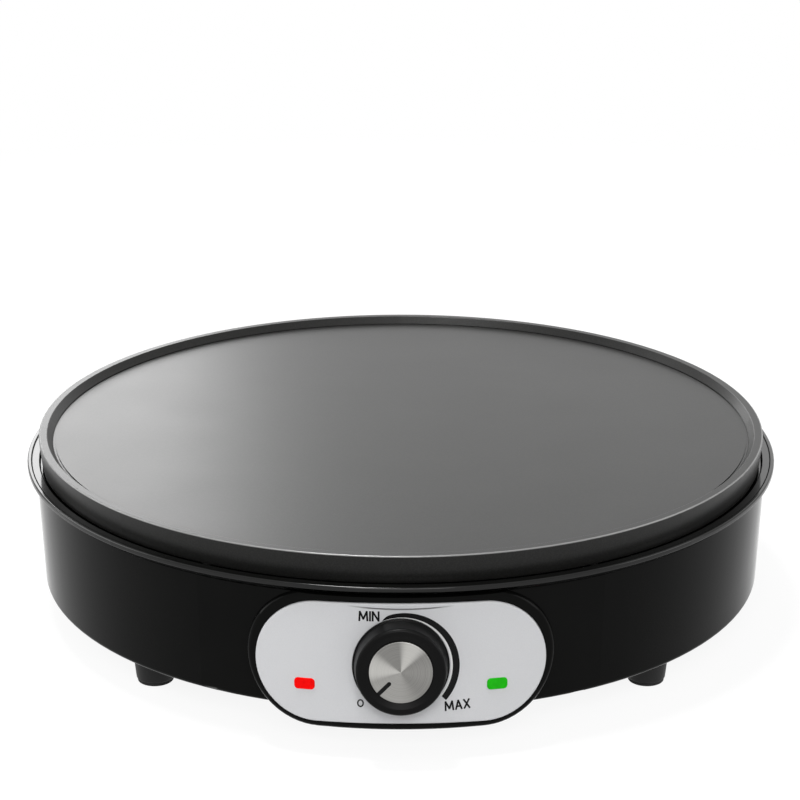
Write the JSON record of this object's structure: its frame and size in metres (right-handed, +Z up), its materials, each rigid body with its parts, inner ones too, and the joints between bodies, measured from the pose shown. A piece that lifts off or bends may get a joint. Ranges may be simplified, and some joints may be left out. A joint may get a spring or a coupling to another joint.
{
  "type": "electric crepe maker",
  "caption": "Round countertop griddle with a rimmed cooking plate on a drum housing, a curved control panel with thermostat knob and indicator lenses, and tapered feet.",
  "frame": {"origin": "on the table, under the middle of the whole object's bounding box", "axes": "+Z up, -Y towards the user, where the control panel is, +X to the user's right"},
  "size_m": [0.3224, 0.3371, 0.0795],
  "materials": {
    "plate_coating": "cast aluminium under a grey non-stick coating, satin",
    "black_gloss": "polished black moulding",
    "black_matte": "fine-grained black moulding",
    "silver_face": "silver paint, satin, with printed dial marks",
    "red_lens": "clear red, polished",
    "green_lens": "clear green, polished",
    "knob_black": "fine satin black",
    "spun_aluminium": "spun in fine circles",
    "pad_rubber": "soft black",
    "screw_steel": "zinc plated",
    "sheet_steel": "bright sheet",
    "element_sheath": "heat-darkened tube",
    "ceramic_white": "unglazed white",
    "brass": "plain brass",
    "spring_bronze": "rolled spring strip",
    "bimetal": "rolled two-metal strip",
    "holder_white": "natural moulding",
    "lamp_glass": "clear",
    "gland_rubber": "soft black",
    "sleeve_white": "heat-proof sleeve",
    "wire_brown": "smooth",
    "wire_blue": "smooth",
    "wire_green": "smooth",
    "wire_white": "heat-proof braid"
  },
  "bodies": {
    "appliance": {"cooking_plate": "plate_coating", "heating_element": "element_sheath", "element_seals": "ceramic_white", "element_tabs": "sheet_steel", "element_clamps": "sheet_steel", "clamp_screws": "screw_steel", "heat_reflector": "sheet_steel", "plate_posts": "sheet_steel", "plate_screws": "screw_steel", "trim_ring": "black_gloss", "ring_screws": "screw_steel", "housing": "black_gloss", "bottom_cover": "black_matte", "cover_screws": "screw_steel", "foot_front_left": "black_matte", "foot_front_right": "black_matte", "foot_rear_left": "black_matte", "foot_rear_right": "black_matte", "foot_pads": "pad_rubber", "foot_screws": "screw_steel", "control_panel": "silver_face", "panel_nuts": "sheet_steel", "power_lens": "red_lens", "ready_lens": "green_lens", "lamp_holders": "holder_white", "neon_lamps": "lamp_glass", "thermostat_bush": "brass", "thermostat_bracket": "sheet_steel", "bracket_screws": "screw_steel", "insulator_stack": "ceramic_white", "bimetal_strip": "bimetal", "contact_springs": "spring_bronze", "stack_rivet": "brass", "cord_gland": "gland_rubber", "cord_clamp": "holder_white", "cord_clamp_screws": "screw_steel", "terminal_block": "ceramic_white", "terminal_sleeves": "brass", "grub_screws": "screw_steel", "block_screws": "screw_steel", "thermal_fuse": "sheet_steel", "fuse_clip": "sheet_steel", "earth_tag": "brass", "plate_tag_screws": "screw_steel", "push_on_connectors": "sleeve_white", "live_lead": "wire_brown", "element_lead": "wire_white", "neutral_lead": "wire_blue", "fuse_lead": "wire_white", "earth_lead": "wire_green", "lamp_leads": "wire_white"},
    "dial": {"knob": "knob_black", "knob_disc": "spun_aluminium", "knob_clip": "sheet_steel", "thermostat_shaft": "brass"},
    "feed_pin": {"adjusting_pin": "ceramic_white"}
  },
  "joints": [
    {"name": "knob_turn", "type": "hinge", "parent": "appliance", "child": "dial", "pos_m": [0, -0.15615, 0.03865], "axis": [0, 0.9925, -0.1219], "range_deg": [0, 270]},
    {"name": "pin_feed", "type": "slide", "parent": "appliance", "child": "feed_pin", "axis": [0, 0.9925, -0.1219], "range_m": [0, 0.0012]}
  ],
  "couplings": [
    {"joint": "pin_feed", "follows": "knob_turn", "m_per_rad": 0.0002546}
  ]
}
